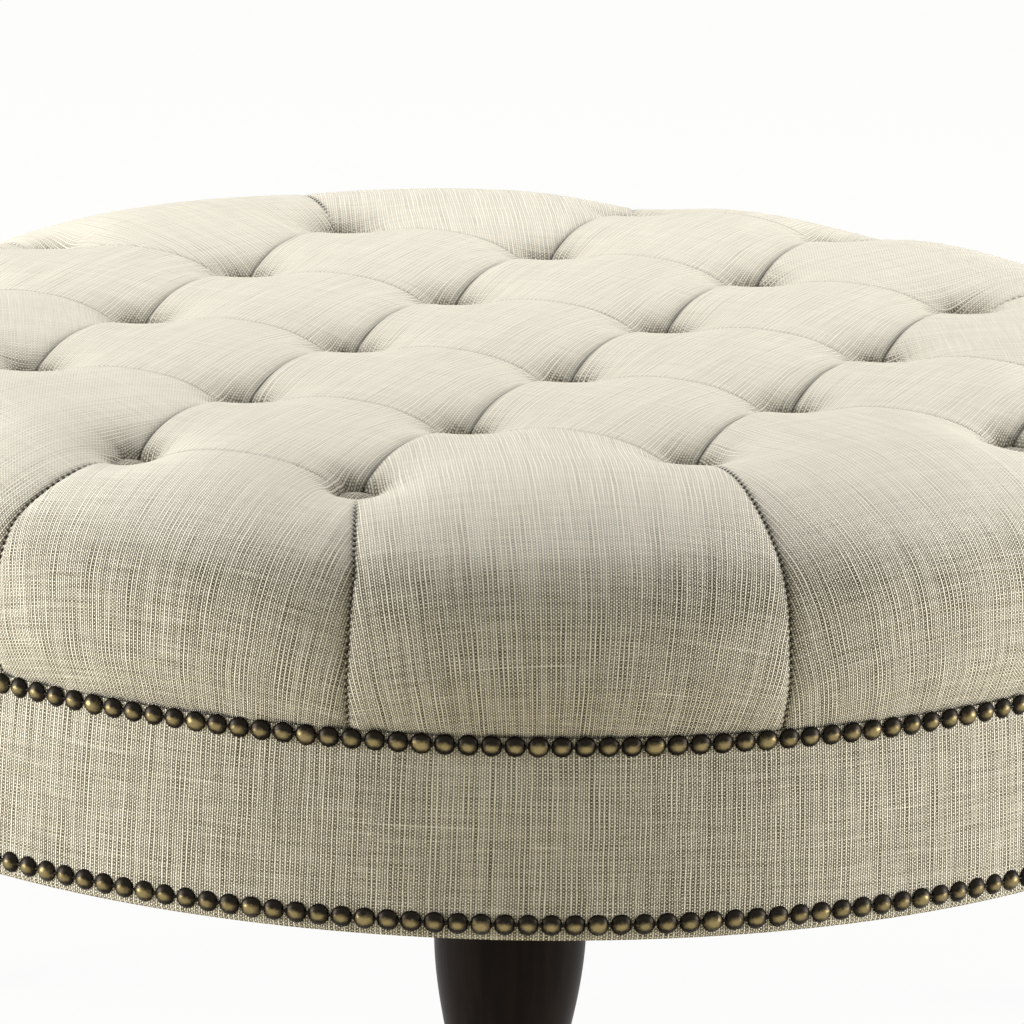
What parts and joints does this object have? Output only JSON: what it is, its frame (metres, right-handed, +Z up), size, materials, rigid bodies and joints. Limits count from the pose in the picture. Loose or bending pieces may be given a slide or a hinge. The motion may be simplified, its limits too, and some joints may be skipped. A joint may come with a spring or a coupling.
{
  "type": "ottoman coffee table",
  "caption": "Round upholstered ottoman coffee table with a diamond-tufted buttoned seat, panelled rolled border, plain band between nailhead trims, and turned legs.",
  "frame": {"origin": "on the floor, under the middle of the round seat", "axes": "+Z up; one leg points along -Y, the others along +X, +Y and -X"},
  "size_m": [0.9924, 0.9924, 0.461],
  "materials": {
    "leg_lacquer": "dark espresso lacquer on turned hardwood, satin",
    "glide_nylon": "moulded nylon",
    "zinc_steel": "zinc plated steel",
    "beech": "sawn beech",
    "plywood": "birch plywood",
    "bent_ply": "bent thin plywood",
    "seat_cloth": "oatmeal linen-look weave with slubs",
    "band_cloth": "oatmeal linen-look weave with slubs",
    "button_cloth": "oatmeal linen-look weave",
    "wadding": "polyester wadding",
    "foam": "polyurethane foam",
    "button_metal": "tinplate button shell",
    "twine": "waxed upholstery twine",
    "washer_plastic": "moulded washer",
    "staple_steel": "galvanised wire",
    "card": "upholstery card",
    "strip_brass": "antique bronze finish on stamped steel",
    "nail_brass": "antique bronze nail heads",
    "dust_cloth": "black non-woven cloth"
  },
  "bodies": {
    "root": {"leg_right": "leg_lacquer", "leg_back": "leg_lacquer", "leg_left": "leg_lacquer", "leg_front": "leg_lacquer", "leg_glides": "glide_nylon", "leg_bolts": "zinc_steel", "leg_tee_nuts": "zinc_steel", "leg_blocks": "beech", "leg_block_screws": "zinc_steel", "base_ring": "plywood", "uprights": "beech", "long_rail": "beech", "cross_rail": "beech", "deck_board": "plywood", "skin_panel": "bent_ply", "base_screws": "zinc_steel", "deck_screws": "zinc_steel", "tufted_cover": "seat_cloth", "seat_wadding": "wadding", "seat_foam": "foam", "button_cores": "button_metal", "button_caps": "button_cloth", "tuft_twines": "twine", "twine_washers": "washer_plastic", "cover_staples": "staple_steel", "tack_strip": "card", "band_padding": "wadding", "band_cloth": "band_cloth", "upper_nail_strip": "strip_brass", "upper_nails": "nail_brass", "lower_nail_strip": "strip_brass", "lower_nails": "nail_brass", "dust_cover": "dust_cloth", "dust_cover_staples": "staple_steel"}
  },
  "joints": []
}
